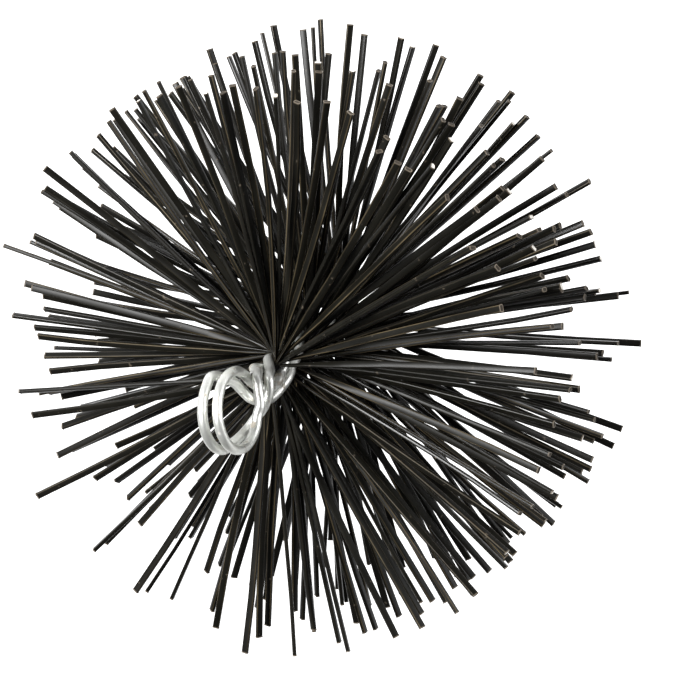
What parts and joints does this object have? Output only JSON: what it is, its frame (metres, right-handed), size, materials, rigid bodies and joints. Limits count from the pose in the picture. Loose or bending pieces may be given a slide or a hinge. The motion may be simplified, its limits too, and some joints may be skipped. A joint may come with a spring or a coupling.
{
  "type": "chimney sweep brush",
  "caption": "Round flue brush worked on a rope: stiff plastic bristles pinched in a twisted wire stem with a double-turned rope eye at the top.",
  "frame": {"origin": "the place inside the rope eye, on the stem's axis, where the rope's hook bears", "axes": "+Z along the stem, up towards the rope; X across the eye, in the plane of its wire turns; Y through the eye"},
  "size_m": [0.249, 0.2496, 0.1678],
  "materials": {
    "galvanised_wire": "satin hot-dip galvanised steel wire, pale and slightly greenish, with small brown stains",
    "bristle_plastic": "black extruded polypropylene with a soft sheen, brownish on edges, square-cut pale tips"
  },
  "bodies": {
    "root": {"core_wire_a": "galvanised_wire", "core_wire_b": "galvanised_wire", "bristle_row_01_left": "bristle_plastic", "bristle_row_01_right": "bristle_plastic", "bristle_row_02_left": "bristle_plastic", "bristle_row_02_right": "bristle_plastic", "bristle_row_03_left": "bristle_plastic", "bristle_row_03_right": "bristle_plastic", "bristle_row_04_left": "bristle_plastic", "bristle_row_04_right": "bristle_plastic", "bristle_row_05_left": "bristle_plastic", "bristle_row_05_right": "bristle_plastic", "bristle_row_06_left": "bristle_plastic", "bristle_row_06_right": "bristle_plastic", "bristle_row_07_left": "bristle_plastic", "bristle_row_07_right": "bristle_plastic", "bristle_row_08_left": "bristle_plastic", "bristle_row_08_right": "bristle_plastic", "bristle_row_09_left": "bristle_plastic", "bristle_row_09_right": "bristle_plastic", "bristle_row_10_left": "bristle_plastic", "bristle_row_10_right": "bristle_plastic", "bristle_row_11_left": "bristle_plastic", "bristle_row_11_right": "bristle_plastic", "bristle_row_12_left": "bristle_plastic", "bristle_row_12_right": "bristle_plastic", "bristle_row_13_left": "bristle_plastic", "bristle_row_13_right": "bristle_plastic"}
  },
  "joints": []
}
